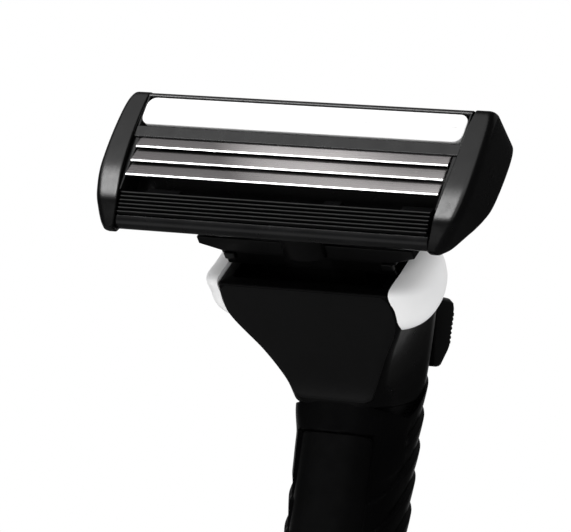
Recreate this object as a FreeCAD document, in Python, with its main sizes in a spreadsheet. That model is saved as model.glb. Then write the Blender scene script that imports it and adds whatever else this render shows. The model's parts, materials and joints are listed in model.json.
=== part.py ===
"""Cartridge razor: a vertical grip, a head bent forward over it, and a pivoting three-blade cartridge.

Frame: +Z up along the grip, blades towards -Y, origin at the middle of the flat tail face.
Three working frames are used. The face frame has x across, y up the shaving face and z out of it.
The head frame has x across, y up the head's end face and z forward along the docking direction.
The grip frame is the part's own frame, moved up to the middle blade's edge.
"""
import FreeCAD, Part
import Sketcher
import math
import os

from FreeCAD import Placement, Rotation, Vector

doc = FreeCAD.newDocument("CartridgeRazor")
sheet = doc.addObject("Spreadsheet::Sheet", "Sizes")
ROW = [0]


class Size:
    """A length that knows both its value and its expression over the sheet."""

    def __init__(self, value, text):
        self.value = value
        self.text = text

    def __add__(self, other):
        other = size(other)
        return Size(self.value + other.value, f"({self.text} + {other.text})")

    def __sub__(self, other):
        other = size(other)
        return Size(self.value - other.value, f"({self.text} - {other.text})")

    def __mul__(self, factor):
        return Size(self.value * factor, f"({self.text} * {factor})")

    def __neg__(self):
        return Size(-self.value, f"(-1 * {self.text})")

    __radd__ = __add__
    __rmul__ = __mul__

    def __rsub__(self, other):
        return size(other) - self


def size(value):
    return value if isinstance(value, Size) else Size(float(value), f"{float(value):.6f}")


def driving(alias, value):
    """Puts one plain number with an alias in the sheet and returns it as a Size."""
    ROW[0] += 1
    cell = f"B{ROW[0]}"
    sheet.set(f"A{ROW[0]}", alias)
    sheet.set(cell, str(value))
    sheet.setAlias(cell, alias)
    return Size(float(value), f"Sizes.{alias}")


# Driving dimensions, mm and degrees.
HEIGHT = driving("blade_height", 134.0)          # tail face to the middle blade's edge
REACH = driving("blade_reach", 15.0)             # the middle blade's edge in front of the tail
FACE_LEAN = 22.0                                 # shaving face back from the vertical
HEAD_LEAN = 42.5                                 # docking direction up from the horizontal

FRAME_HALF = driving("frame_half_width", 18.1)
RAIL_HALF = driving("rail_half_width", 17.35)
FACE_TOP = driving("face_top", 7.95)
FACE_BOTTOM = driving("face_bottom", -6.3)
CAP_LINE = driving("cap_line", 2.76)
GUARD_TOP = driving("guard_top", -3.25)
GUARD_BOTTOM = driving("guard_bottom", -5.56)
BLADE_PITCH = driving("blade_pitch", 1.593)
BLADE_HALF = driving("blade_half_length", 17.4)
BLADE_RISE = driving("blade_rise", 1.6)
BLADE_DROP = driving("blade_drop", 0.6)
BLADE_GAUGE = driving("blade_gauge", 0.1)
SUPPORT_GAUGE = driving("support_gauge", 0.22)
FLOOR = driving("cavity_floor", -2.7)
STRIP_HALF = driving("strip_half_length", 17.84)
STRIP_LOW = driving("strip_low", 4.3)
STRIP_HIGH = driving("strip_high", 7.3)
STRIP_DEEP = driving("strip_depth", 1.15)
LIP = driving("cap_lip_thickness", 0.34)
LIP_REACH = driving("cap_lip_reach", 0.65)
CAP_HALF = driving("cap_half_width", 20.85)
CAP_TOP = driving("end_cap_top", 8.2)
CAP_BOTTOM = driving("end_cap_bottom", -6.9)

PIVOT_UP = driving("pivot_up", -1.0)
PIVOT_BACK = driving("pivot_back", -6.6)
PIN_R = driving("pivot_pin_radius", 1.0)
PIN_GAP = 0.05
EAR_R = driving("ear_radius", 1.4)
EAR_IN = driving("ear_inner", 8.4)
EAR_OUT = driving("ear_outer", 9.7)
ARM_IN = driving("arm_inner", 9.9)
ARM_OUT = driving("arm_outer", 12.15)

YOKE_LOW = driving("yoke_low", -1.06)
YOKE_HIGH = driving("yoke_high", 3.1)
BAR_FRONT = driving("yoke_bar_front", -8.2)
BAR_BACK = driving("yoke_bar_back", -10.1)
YOKE_BACK = driving("yoke_back", -11.45)
SHAFT_END = driving("shaft_end", -17.5)
SHAFT_HALF = driving("shaft_half_width", 5.6)
SHAFT_LOW = driving("shaft_low", -0.6)
SHAFT_HIGH = driving("shaft_high", 5.6)
NOSE = driving("head_end_face", -11.8)
CHIN = driving("chin_plane", -3.75)
SLIDE_GAP = 0.2

PLUNGER_HALF = driving("plunger_half_width", 2.3)
PLUNGER_LOW = driving("plunger_low", 3.05)
PLUNGER_HIGH = driving("plunger_high", 4.75)
PLUNGER_TIP = driving("plunger_tip", -4.2)
FLANGE_FRONT = driving("flange_front", -18.4)
FLANGE_BACK = driving("flange_back", -19.4)
SPRING_SEAT = driving("spring_seat", -24.0)
SEAT_BACK = driving("seat_back", -24.8)
FORK_IN = driving("fork_inner", 3.4)
FORK_OUT = driving("fork_outer", 4.8)
FORK_TIP = driving("fork_tip", -20.2)
CROSS_FRONT = driving("ejector_cross_front", -27.2)
CROSS_BACK = driving("ejector_cross_back", -30.0)
CROSS_LOW = driving("ejector_cross_low", 0.2)
CROSS_HIGH = driving("ejector_cross_high", 3.0)
SPRING_BORE = driving("spring_bore_bottom", -29.2)
PUSH_UP = driving("push_point_up", 6.2)
PUSH_POINT = driving("push_point", -28.6)

BUTTON_OUT = driving("button_outer_face", 28.9)
BUTTON_TOP = driving("button_top", -8.1)
BUTTON_FOOT = driving("button_foot", -15.3)
BUTTON_HALF = driving("button_half_width", 4.9)

GRIP_AXIS = driving("grip_axis_behind_blade", 21.1)
GRIP_HALF = driving("grip_half_width", 5.9)
GRIP_TOP = driving("grip_top", -22.5)
GRIP_END = driving("grip_end", -130.0)
SKIN = driving("rubber_thickness", 1.2)
PANEL_HALF = driving("grip_panel_half_width", 3.6)

CROSS_MIDDLE = (CROSS_LOW + CROSS_HIGH) * 0.5

doc.recompute()

middle_edge = Vector(0, -REACH.value, HEIGHT.value)
FACE_FRAME = Placement(middle_edge, Rotation(Vector(1, 0, 0), 90 - FACE_LEAN))
HEAD_FRAME = Placement(middle_edge, Rotation(Vector(1, 0, 0), 90 - HEAD_LEAN))
GRIP_FRAME = Placement(middle_edge, Rotation())


def new_body(name, frame):
    body = doc.addObject("PartDesign::Body", name)
    body.Label = name
    body.Placement = frame
    return body


def origin_plane(body, role):
    return next(item for item in body.Origin.OriginFeatures if item.Role == role)


def new_sketch(body, role="XY_Plane", offset=Placement()):
    sketch = body.newObject("Sketcher::SketchObject", f"{body.Name}_outline")
    sketch.AttachmentSupport = (origin_plane(body, role), [""])
    sketch.MapMode = "FlatFace"
    sketch.AttachmentOffset = offset
    return sketch


def pin_point(sketch, geometry, end, x, y):
    """Ties one end point to the sketch origin by two sizes."""
    for value, kind, axis in ((size(x), "DistanceX", -2), (size(y), "DistanceY", -1)):
        if abs(value.value) < 1e-9:
            sketch.addConstraint(Sketcher.Constraint("PointOnObject", geometry, end, axis))
            continue
        index = sketch.addConstraint(Sketcher.Constraint(kind, -1, 1, geometry, end, value.value))
        sketch.setExpression(f"Constraints[{index}]", value.text)


def draw_polygon(sketch, corners):
    """Closed outline through the corners, each given as two sizes."""
    corners = [(size(x), size(y)) for x, y in corners]
    spots = [Vector(x.value, y.value, 0) for x, y in corners]
    first = sketch.GeometryCount
    count = len(spots)
    for i, spot in enumerate(spots):
        sketch.addGeometry(Part.LineSegment(spot, spots[(i + 1) % count]), False)
    for i in range(count):
        following = first + (i + 1) % count
        sketch.addConstraint(Sketcher.Constraint("Coincident", first + i, 2, following, 1))
    for i, (x, y) in enumerate(corners):
        pin_point(sketch, first + i, 1, x, y)


def draw_box(sketch, left, right, low, high):
    draw_polygon(sketch, [(left, low), (right, low), (right, high), (left, high)])


def draw_circle(sketch, x, y, radius):
    radius = size(radius)
    centre = Vector(size(x).value, size(y).value, 0)
    index = sketch.addGeometry(Part.Circle(centre, Vector(0, 0, 1), radius.value), False)
    pin_point(sketch, index, 3, x, y)
    bound = sketch.addConstraint(Sketcher.Constraint("Radius", index, radius.value))
    sketch.setExpression(f"Constraints[{bound}]", radius.text)


def draw_rounded(sketch, half_width, half_height, radius):
    """Rounded rectangle about the sketch origin: four sides joined by four arcs."""
    half_width, half_height, radius = size(half_width), size(half_height), size(radius)
    w, h, r = half_width.value, half_height.value, radius.value
    turns = ((w - r, h - r, 0), (r - w, h - r, 1), (r - w, r - h, 2), (w - r, r - h, 3))
    for x, y, quarter in turns:
        start = quarter * math.pi / 2
        circle = Part.Circle(Vector(x, y, 0), Vector(0, 0, 1), r)
        sketch.addGeometry(Part.ArcOfCircle(circle, start, start + math.pi / 2), False)
    sides = (
        (Vector(w - r, h, 0), Vector(r - w, h, 0)),
        (Vector(-w, h - r, 0), Vector(-w, r - h, 0)),
        (Vector(r - w, -h, 0), Vector(w - r, -h, 0)),
        (Vector(w, r - h, 0), Vector(w, h - r, 0)),
    )
    for start, stop in sides:
        sketch.addGeometry(Part.LineSegment(start, stop), False)
    for arc in range(4):
        sketch.addConstraint(Sketcher.Constraint("Tangent", arc, 2, 4 + arc, 1))
        sketch.addConstraint(Sketcher.Constraint("Tangent", 4 + arc, 2, (arc + 1) % 4, 1))
    for side, kind in ((4, "Horizontal"), (5, "Vertical"), (6, "Horizontal"), (7, "Vertical")):
        sketch.addConstraint(Sketcher.Constraint(kind, side))
    for arc in (1, 2, 3):
        sketch.addConstraint(Sketcher.Constraint("Equal", 0, arc))
    bound = sketch.addConstraint(Sketcher.Constraint("Radius", 0, r))
    sketch.setExpression(f"Constraints[{bound}]", radius.text)
    ends = (
        ("DistanceY", 4, half_height), ("DistanceX", 5, -half_width),
        ("DistanceY", 6, -half_height), ("DistanceX", 7, half_width),
    )
    for kind, side, value in ends:
        bound = sketch.addConstraint(Sketcher.Constraint(kind, -1, 1, side, 1, value.value))
        sketch.setExpression(f"Constraints[{bound}]", value.text)


def shifted(z):
    return Placement(Vector(0, 0, size(z).value), Rotation())


def bind_shift(sketch, z):
    sketch.setExpression("AttachmentOffset.Base.z", size(z).text)


def pad(body, draw, start, stop, role="XY_Plane"):
    """Adds material between two heights above an origin plane."""
    return extruded(body, draw, start, stop, role, "PartDesign::Pad")


def pocket(body, draw, start, stop, role="XY_Plane"):
    """Removes material between two heights above an origin plane."""
    before = body.Shape.Volume
    feature = extruded(body, draw, start, stop, role, "PartDesign::Pocket")
    doc.recompute()
    if body.Shape.Volume >= before - 1e-6:
        raise ValueError(f"{feature.Name} cuts nothing")
    return feature


def extruded(body, draw, start, stop, role, kind):
    start, stop = size(start), size(stop)
    sketch = new_sketch(body, role, shifted(start))
    bind_shift(sketch, start)
    draw(sketch)
    feature = body.newObject(kind, f"{body.Name}_{kind.split('::')[1].lower()}")
    feature.Profile = sketch
    length = stop - start
    feature.Length = length.value
    feature.setExpression("Length", length.text)
    feature.Reversed = kind.endswith("Pocket")
    doc.recompute()
    return feature


def boxes(*rectangles):
    def draw(sketch):
        for rectangle in rectangles:
            draw_box(sketch, *rectangle)
    return draw


def outline(*corners):
    return lambda sketch: draw_polygon(sketch, corners)


def circles(*rounds):
    def draw(sketch):
        for rounded in rounds:
            draw_circle(sketch, *rounded)
    return draw


def both_sides(left, right, low, high):
    """A rectangle and its mirror image across the middle."""
    return (left, right, low, high), (-size(right), -size(left), low, high)


def soften(body, radius, wanted):
    """Rounds the edges of the body's last feature for which wanted(edge) is true."""
    base = body.Tip
    names = [f"Edge{i + 1}" for i, edge in enumerate(base.Shape.Edges) if wanted(edge)]
    if not names:
        raise ValueError(f"{body.Name} has no edge to round")
    fillet = body.newObject("PartDesign::Fillet", f"{body.Name}_fillet")
    fillet.Base = (base, names)
    radius = size(radius)
    fillet.Radius = radius.value
    fillet.setExpression("Radius", radius.text)
    doc.recompute()
    return fillet


def loft(body, stations):
    """Lofts rounded rectangles; each station is a placement, two half sizes and a corner radius."""
    sketches = []
    for place, half_width, half_depth, radius in stations:
        sketch = new_sketch(body, "XY_Plane", place)
        draw_rounded(sketch, half_width, half_depth, radius)
        sketches.append(sketch)
    feature = body.newObject("PartDesign::AdditiveLoft", f"{body.Name}_loft")
    feature.Profile = sketches[0]
    feature.Sections = sketches[1:]
    feature.Ruled = False
    doc.recompute()
    return feature


# The cartridge, in the face frame.

def make_cartridge_frame():
    body = new_body("cartridge_frame", FACE_FRAME)
    pad(body, outline(
        (FACE_TOP, -1.75), (6.9, -5.6), (0.6, -4.9), (-5.0, -2.6), (-5.9, -2.35), (FACE_BOTTOM, -1.9),
        (-6.2, -1.25), (-5.75, -0.85), (-5.65, -1.5), (GUARD_TOP, -1.4), (GUARD_TOP + 0.05, -0.15),
        (CAP_LINE, -0.15), (CAP_LINE, -1.75),
    ), -FRAME_HALF, FRAME_HALF, "YZ_Plane")
    cavity = (-BLADE_HALF - 0.1, BLADE_HALF + 0.1, GUARD_TOP + 0.35, CAP_LINE + LIP_REACH)
    pocket(body, boxes(cavity), FLOOR, 1)
    pocket(body, boxes(*both_sides(RAIL_HALF, FRAME_HALF + 1, -8, GUARD_TOP + 0.3)), -8, 1)
    windows = both_sides(3.0, 7.6, 0.1, 2.0) + both_sides(10.4, 16.4, 0.1, 2.0)
    pocket(body, boxes(*windows), -8, 1)
    for inner, outer in ((EAR_IN, EAR_OUT), (-EAR_OUT, -EAR_IN)):
        pad(body, outline(
            (PIVOT_UP - EAR_R, -3.6), (PIVOT_UP - EAR_R, PIVOT_BACK), (PIVOT_UP - 0.6, PIVOT_BACK - 1.25),
            (PIVOT_UP + 0.6, PIVOT_BACK - 1.25), (PIVOT_UP + EAR_R, PIVOT_BACK), (PIVOT_UP + EAR_R, -4.4),
        ), inner, outer, "YZ_Plane")
    pocket(body, circles((PIVOT_UP, PIVOT_BACK, PIN_R + PIN_GAP)), -EAR_OUT - 0.2, EAR_OUT + 0.2, "YZ_Plane")
    pad(body, outline((-4.5, -2.6), (-4.5, -4.9), (-3.2, -4.9), (-3.2, -3.2)), -2.4, 2.4, "YZ_Plane")
    return body


def make_cap_carrier():
    body = new_body("cap_carrier", FACE_FRAME)
    pad(body, boxes((-FRAME_HALF, FRAME_HALF, CAP_LINE, FACE_TOP)), -1.75, -0.02)
    under_lip = (-BLADE_HALF - 0.1, BLADE_HALF + 0.1, CAP_LINE - 1, CAP_LINE + LIP_REACH)
    pocket(body, boxes(under_lip), -3, -LIP - 0.02)
    pocket(body, boxes((-STRIP_HALF, STRIP_HALF, STRIP_LOW, STRIP_HIGH)), -STRIP_DEEP, 1)
    return body


def make_lubricating_strip():
    body = new_body("lubricating_strip", FACE_FRAME)
    pad(body, boxes((-STRIP_HALF, STRIP_HALF, STRIP_LOW, STRIP_HIGH)), -STRIP_DEEP, 0.08)
    soften(body, 0.9, lambda edge: abs(edge.tangentAt(edge.FirstParameter).z) > 0.99)
    return body


def make_guard_strip():
    body = new_body("guard_strip", FACE_FRAME)
    fins = 6
    pitch = (GUARD_TOP - GUARD_BOTTOM) * (1 / fins)
    corners = [(GUARD_TOP, -1.4)]
    for i in range(fins):
        top = GUARD_TOP - pitch * i
        tip = -0.12 - 0.09 * i
        corners += [(top - pitch * 0.1, tip - 0.35), (top - pitch * 0.35, tip), (top - pitch * 0.65, tip)]
        corners += [(top - pitch * 0.9, tip - 0.4)]
    corners.append((GUARD_BOTTOM, -1.48))
    pad(body, outline(*corners), -RAIL_HALF + 0.15, RAIL_HALF - 0.15, "YZ_Plane")
    return body


def make_blade(name, edge):
    body = new_body(name, FACE_FRAME)
    pad(body, outline(
        (edge, 0.02), (edge + 0.25, -0.02), (edge + BLADE_RISE, -BLADE_DROP),
        (edge + BLADE_RISE - 0.04, -BLADE_DROP - BLADE_GAUGE), (edge + 0.22, -0.14),
    ), -BLADE_HALF, BLADE_HALF, "YZ_Plane")
    return body


def make_blade_support(name, edge):
    body = new_body(name, FACE_FRAME)
    heel = edge + BLADE_RISE
    pad(body, outline(
        (edge + 0.3, -0.24), (heel - 0.04, -BLADE_DROP - BLADE_GAUGE - 0.04), (heel, FLOOR + 0.02),
        (heel - SUPPORT_GAUGE, FLOOR + 0.02), (heel - SUPPORT_GAUGE, -BLADE_DROP - 0.32), (edge + 0.3, -0.46),
    ), -BLADE_HALF + 0.5, BLADE_HALF - 0.5, "YZ_Plane")
    return body


def make_end_cap(name, side):
    """The cap that closes one end of the cartridge, with a toe round the end of the lower rail."""
    body = new_body(name, FACE_FRAME)
    inner, outer = sorted((RAIL_HALF * side, CAP_HALF * side), key=lambda item: item.value)
    pad(body, outline(
        (CAP_TOP, -0.7), (CAP_TOP - 1.2, -5.7), (0.58, -5.0), (-5.0, -2.6), (CAP_BOTTOM, -1.3),
        (CAP_BOTTOM + 0.3, -0.5), (-5.3, -0.05), (-3.2, 0.25), (3.0, 0.3), (7.4, 0.1),
    ), inner, outer, "YZ_Plane")
    notch = [RAIL_HALF * side - 0.2 * side, (FRAME_HALF + 0.05) * side]
    left, right = sorted((size(item) for item in notch), key=lambda item: item.value)
    pocket(body, boxes((left, right, GUARD_TOP + 0.3, CAP_TOP + 1)), -8, 1)
    pocket(body, outline(
        ((CAP_HALF + 0.5) * side, -1.5), ((CAP_HALF - 0.2) * side, -1.5), ((CAP_HALF - 0.6) * side, -3.6),
        ((CAP_HALF - 1.6) * side, -5.4), ((CAP_HALF - 2.6) * side, CAP_BOTTOM - 0.5),
        ((CAP_HALF + 0.5) * side, CAP_BOTTOM - 0.5),
    ), -8, 1)
    return body


# The connector and the mechanism behind it, in the head frame.

def pivot_in_head():
    """The pivot axis of the cartridge seen in the head frame: height and reach."""
    tilt = math.radians(HEAD_LEAN - FACE_LEAN)
    up = PIVOT_UP * math.cos(tilt) - PIVOT_BACK * math.sin(tilt)
    reach = PIVOT_UP * math.sin(tilt) + PIVOT_BACK * math.cos(tilt)
    return up, reach


def make_connector_yoke():
    body = new_body("connector_yoke", HEAD_FRAME)
    up, reach = pivot_in_head()
    bore = (PLUNGER_LOW - 0.15, PLUNGER_HIGH + 0.15)
    pad(body, boxes((-ARM_OUT, ARM_OUT, YOKE_LOW, YOKE_HIGH)), BAR_BACK, BAR_FRONT)
    pad(body, boxes((-9.6, 9.6, YOKE_LOW, SHAFT_HIGH)), YOKE_BACK, BAR_BACK)
    pad(body, boxes((-SHAFT_HALF, SHAFT_HALF, SHAFT_LOW, SHAFT_HIGH)), SHAFT_END, YOKE_BACK)
    for inner, outer in ((ARM_IN, ARM_OUT), (-ARM_OUT, -ARM_IN)):
        pad(body, outline(
            (up - 1.5, BAR_FRONT - 0.1), (up + 1.5, BAR_FRONT - 0.1), (up + 1.5, reach + 0.5),
            (up + 0.7, reach + 1.4), (up - 0.7, reach + 1.4), (up - 1.5, reach + 0.5),
        ), inner, outer, "YZ_Plane")
    for inner, outer in ((EAR_IN + 0.1, ARM_IN + 0.1), (-ARM_IN - 0.1, -EAR_IN - 0.1)):
        pad(body, circles((up, reach, PIN_R)), inner, outer, "YZ_Plane")
    pocket(body, boxes((-PLUNGER_HALF - 0.2, PLUNGER_HALF + 0.2, *bore)), SHAFT_END - 1, BAR_FRONT + 1)
    pad(body, boxes((-2.4, 2.4, YOKE_LOW - 1.1, YOKE_LOW + 0.1)), -9.6, -6.9)
    return body


def make_cartridge_plunger():
    body = new_body("cartridge_plunger", HEAD_FRAME)
    middle = (PLUNGER_LOW + PLUNGER_HIGH) * 0.5
    bar = (-PLUNGER_HALF, PLUNGER_HALF, PLUNGER_LOW, PLUNGER_HIGH)
    pad(body, boxes(bar), FLANGE_BACK, PLUNGER_TIP)
    pad(body, boxes((-3.0, 3.0, middle - 2.0, middle + 2.0)), FLANGE_BACK, FLANGE_FRONT)
    across = lambda edge: abs(edge.tangentAt(edge.FirstParameter).x) > 0.99
    tip = lambda edge: across(edge) and max(v.Z for v in edge.Vertexes) > PLUNGER_TIP.value - 0.01
    soften(body, 0.7, tip)
    return body


def coil(name, frame, centre, low, high, radius, wire, turns):
    """A compression spring: an eight-sided wire swept along a helix."""
    rise = (high - low).value - wire.value
    path = Part.makeHelix(rise / turns, rise, radius.value - wire.value / 2)
    start = path.Vertexes[0].Point
    tangent = path.Edges[0].tangentAt(path.Edges[0].FirstParameter)
    ring = Part.makeCircle(wire.value / 2, start, tangent)
    section = Part.makePolygon(ring.discretize(9))
    spring = Part.Wire(path.Edges).makePipeShell([section], True, True)
    item = doc.addObject("Part::Feature", name)
    item.Label = name
    item.Shape = spring
    foot = Placement(Vector(*centre, (low + wire * 0.5).value), Rotation())
    item.Placement = frame.multiply(foot)
    return item


def make_plunger_spring():
    middle = (PLUNGER_LOW + PLUNGER_HIGH) * 0.5
    low, high = SPRING_SEAT + 0.05, FLANGE_BACK - 0.05
    return coil("plunger_spring", HEAD_FRAME, (0, middle.value), low, high, size(1.9), size(0.35), 6)


def make_ejector():
    """Two prongs that push the connector off, a cross bar with a spring bore, and the tab behind it."""
    body = new_body("ejector_fork", HEAD_FRAME)
    pad(body, boxes((-FORK_OUT, FORK_OUT, CROSS_LOW, CROSS_HIGH)), CROSS_BACK, CROSS_FRONT)
    pad(body, boxes(*both_sides(FORK_IN, FORK_OUT, CROSS_LOW, CROSS_HIGH)), CROSS_FRONT - 0.1, FORK_TIP)
    pad(body, boxes((-2.2, 2.2, CROSS_HIGH - 0.1, 9.0)), PUSH_POINT + 0.6, CROSS_FRONT)
    pocket(body, circles((0, CROSS_MIDDLE, 1.1)), SPRING_BORE, CROSS_FRONT + 1)
    return body


def make_button_spring():
    low, high = SPRING_BORE + 0.05, SEAT_BACK - 0.05
    return coil("button_spring", HEAD_FRAME, (0, CROSS_MIDDLE.value), low, high, size(0.95), size(0.25), 5)


# The handle, in the grip frame: y back and z up from the middle blade's edge.

def station(front_y, front_z, back_y, back_z):
    """Placement of a handle section whose own y axis runs from its front point to its back point."""
    along = Vector(0, back_y - front_y, back_z - front_z)
    middle = Vector(0, (front_y + back_y) / 2, (front_z + back_z) / 2)
    turn = math.degrees(math.atan2(along.z, along.y))
    return Placement(middle, Rotation(Vector(1, 0, 0), turn)), along.Length / 2


def head_stations():
    """Front and back points of each head section, with its half width and corner radius."""
    for front, back, half_width, radius in (
        ((6.2, -10.7), (11.6, -4.8), 9.5, 1.6),
        ((8.96, -13.3), (16.4, -5.1), 10.0, 2.4),
        ((12.2, -16.3), (22.3, -7.0), 7.8, 3.0),
        ((14.3, -18.7), (26.1, -12.2), 6.4, 3.6),
        ((15.1, -20.6), (27.0, -17.6), 5.95, 4.2),
        ((15.2, GRIP_TOP.value), (27.0, GRIP_TOP.value), GRIP_HALF, 4.3),
    ):
        place, half_depth = station(*front, *back)
        yield place, half_width, half_depth, radius


def grip_centre(z):
    """The grip is upright below the head and then curves gently forward to the tail."""
    bend_start = -60.0
    reach = bend_start - GRIP_END.value
    forward = GRIP_AXIS.value - REACH.value
    return GRIP_AXIS.value - forward * (max(0.0, bend_start - z) / reach) ** 2


def grip_stations(levels, inset=0.0):
    """Grip sections at the given levels, with a slight waist and a fuller palm swell."""
    for z in levels:
        span = (z - GRIP_TOP.value) / (GRIP_END.value - GRIP_TOP.value)
        swell = 0.5 * math.sin(math.pi * span) ** 2
        half = GRIP_HALF + swell - inset
        place = Placement(Vector(0, grip_centre(z), z), Rotation())
        yield place, half, half, half * 0.72


PANEL_LEVELS = [-24.5, -42.0, -62.0, -82.0, -98.0, -106.0]
LEVELS = [GRIP_TOP.value, -42.0, -62.0, -82.0, -98.0, -114.0, GRIP_END.value]


def inlay_outline(grow=0.0):
    """Shield outline of a side inlay over the head's side, as seen in the head frame."""
    front, back = NOSE.value + 0.05 + grow, -17.2 - grow
    return outline(
        (-3.75 - grow, front), (4.8 + grow, front), (4.8 + grow, -14.4), (2.4 + grow, back),
        (-1.4 - grow, back), (-3.75 - grow, -15.5 - grow),
    )


def chin_outline(grow=0.0):
    """The tapering plate under the head, as seen from in front of it: x across, reach up."""
    top, foot = NOSE.value - 0.5 + grow, -25.4 - grow
    return outline(
        (-8.2 - grow, top), (8.2 + grow, top), (8.2 + grow, -15.4), (4.9 + grow, foot + 1.2),
        (3.6 + grow, foot), (-3.6 - grow, foot), (-4.9 - grow, foot + 1.2), (-8.2 - grow, -15.4),
    )


def cut_from(name, base, tools):
    """The base solid less its tools, as one named result."""
    result = doc.addObject("Part::Cut", name)
    result.Label = name
    result.Base = base
    result.Tool = tools[0]
    if len(tools) > 1:
        result.Tool = doc.addObject("Part::MultiFuse", f"{name}_tools")
        result.Tool.Shapes = tools
    doc.recompute()
    return result


def tool_body(name, frame, *pads):
    body = new_body(name, frame)
    for item in pads:
        pad(body, *item)
    return body


def make_head_housing():
    outside = new_body("head_outside", GRIP_FRAME)
    loft(outside, head_stations())
    gap = SLIDE_GAP
    wide = SHAFT_HALF + gap
    tools = [
        tool_body("socket", HEAD_FRAME,
                  (boxes((-wide, wide, SHAFT_LOW - gap, SHAFT_HIGH + gap)), -18.0, NOSE + 1),
                  (boxes((-5.1, 5.1, -0.1, SHAFT_HIGH + 0.4)), SPRING_SEAT, -17.9)),
        tool_body("fork_channels", HEAD_FRAME,
                  (boxes(*both_sides(FORK_IN - 0.2, 5.1, -0.1, 3.3)), SEAT_BACK - 0.1, SPRING_SEAT + 0.1)),
        tool_body("ejector_room", HEAD_FRAME,
                  (boxes((-5.1, 5.1, -0.1, 3.3)), CROSS_BACK - 0.4, SEAT_BACK),
                  (boxes((-2.6, 2.6, 3.2, 9.3)), -28.3, SEAT_BACK),
                  (boxes((-2.6, 2.6, 3.2, 7.0)), CROSS_BACK - 0.4, -28.2)),
        tool_body("stem_slot", GRIP_FRAME,
                  (boxes((-1.9, 1.9, 24.4, 30.0)), -15.9, -10.8),
                  (boxes((-1.9, 1.9, 22.6, 26.0)), -15.9, -8.2)),
        tool_body("chin_recess", HEAD_FRAME, (chin_outline(0.02), -CHIN - 1.02, -CHIN + 1, "XZ_Plane")),
    ]
    for name, left, right in (("inlay_seat_right", 8.4, 14.0), ("inlay_seat_left", -14.0, -8.4)):
        tools.append(tool_body(name, HEAD_FRAME, (inlay_outline(0.02), left, right, "YZ_Plane")))
    return cut_from("head_housing", outside, tools)


def make_chin_panel():
    body = new_body("chin_panel", HEAD_FRAME)
    pad(body, chin_outline(), -CHIN - 1.0, -CHIN + 0.05, "XZ_Plane")
    return body


def make_side_inlay(name, left, right, outer):
    body = new_body(name, HEAD_FRAME)
    pad(body, inlay_outline(), left, right, "YZ_Plane")
    rim = lambda edge: all(abs(v.X - outer) < 0.01 for v in edge.Vertexes)
    soften(body, 1.3, rim)
    return body


def from_head(up, reach):
    """A point of the head frame seen in the grip frame: how far back and how high."""
    lean = math.radians(HEAD_LEAN)
    return up * math.sin(lean) - reach * math.cos(lean), up * math.cos(lean) + reach * math.sin(lean)


def make_release_button():
    body = new_body("release_button", GRIP_FRAME)
    pad(body, outline(
        (24.6, BUTTON_TOP), (BUTTON_OUT - 0.8, BUTTON_TOP), (BUTTON_OUT, BUTTON_TOP - 0.8),
        (BUTTON_OUT, BUTTON_FOOT + 2.4), (27.4, BUTTON_FOOT), (27.3, BUTTON_FOOT), (27.3, -13.0),
        (26.9, -11.2),
    ), -BUTTON_HALF, BUTTON_HALF, "YZ_Plane")
    back, up = from_head(PUSH_UP.value, PUSH_POINT.value)
    pad(body, boxes((-1.6, 1.6, back, 27.5)), up - 0.45, up + 0.45)
    pad(body, circles((back, up, 0.5)), -1.6, 1.6, "YZ_Plane")
    return body


def make_grip_core():
    body = new_body("grip_core", GRIP_FRAME)
    loft(body, grip_stations(LEVELS, SKIN.value + 0.02))
    return body


def make_rubber_grip():
    outside = new_body("grip_outside", GRIP_FRAME)
    loft(outside, grip_stations(LEVELS))
    inside = new_body("grip_inside", GRIP_FRAME)
    loft(inside, grip_stations([GRIP_TOP.value + 1.0, *LEVELS[1:-1], GRIP_END.value - 1.0], SKIN.value))
    slot = new_body("panel_slot", GRIP_FRAME)
    loft(slot, panel_stations(grow_width=0.02, behind=0.02, ahead=2.0))
    return cut_from("rubber_grip", outside, [inside, slot])


def panel_stations(grow_width=0.0, behind=0.0, ahead=0.0):
    """Sections of the plate let into the front of the grip, following its front surface."""
    for z in PANEL_LEVELS:
        (place, half, _, _), = grip_stations([z])
        front = grip_centre(z) - half.value + 0.35 - ahead
        rear = grip_centre(z) - half.value + 1.1 + behind
        depth = (rear - front) / 2
        yield (Placement(Vector(0, (front + rear) / 2, z), Rotation()), PANEL_HALF + grow_width,
               size(depth), size(0.3))


def make_grip_panel():
    body = new_body("grip_panel", GRIP_FRAME)
    loft(body, panel_stations())
    return body


def make_tail_cap():
    body = new_body("tail_cap", GRIP_FRAME)
    tail = -HEIGHT.value
    centre = REACH.value
    half = GRIP_HALF.value
    loft(body, [
        (Placement(Vector(0, centre, GRIP_END.value - 0.05), Rotation()), half, half, half * 0.72),
        (Placement(Vector(0, centre, tail + 1.2), Rotation()), half - 0.3, half - 0.3, half * 0.7),
        (Placement(Vector(0, centre, tail), Rotation()), half - 1.2, half - 1.2, half * 0.6),
    ])
    return body


EDGES = {
    "upper": BLADE_PITCH,
    "middle": size(0),
    "lower": -BLADE_PITCH,
}


def make_everything():
    yield make_cartridge_frame()
    yield make_cap_carrier()
    yield make_lubricating_strip()
    yield make_guard_strip()
    for place, edge in EDGES.items():
        yield make_blade(f"blade_{place}", edge)
        yield make_blade_support(f"blade_support_{place}", edge)
    yield make_end_cap("end_cap_right", 1)
    yield make_end_cap("end_cap_left", -1)
    yield make_connector_yoke()
    yield make_cartridge_plunger()
    yield make_plunger_spring()
    yield make_ejector()
    yield make_button_spring()
    yield make_head_housing()
    yield make_chin_panel()
    yield make_side_inlay("side_inlay_right", 8.42, 12.3, 12.3)
    yield make_side_inlay("side_inlay_left", -12.3, -8.42, -12.3)
    yield make_release_button()
    yield make_grip_core()
    yield make_rubber_grip()
    yield make_grip_panel()
    yield make_tail_cap()


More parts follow.
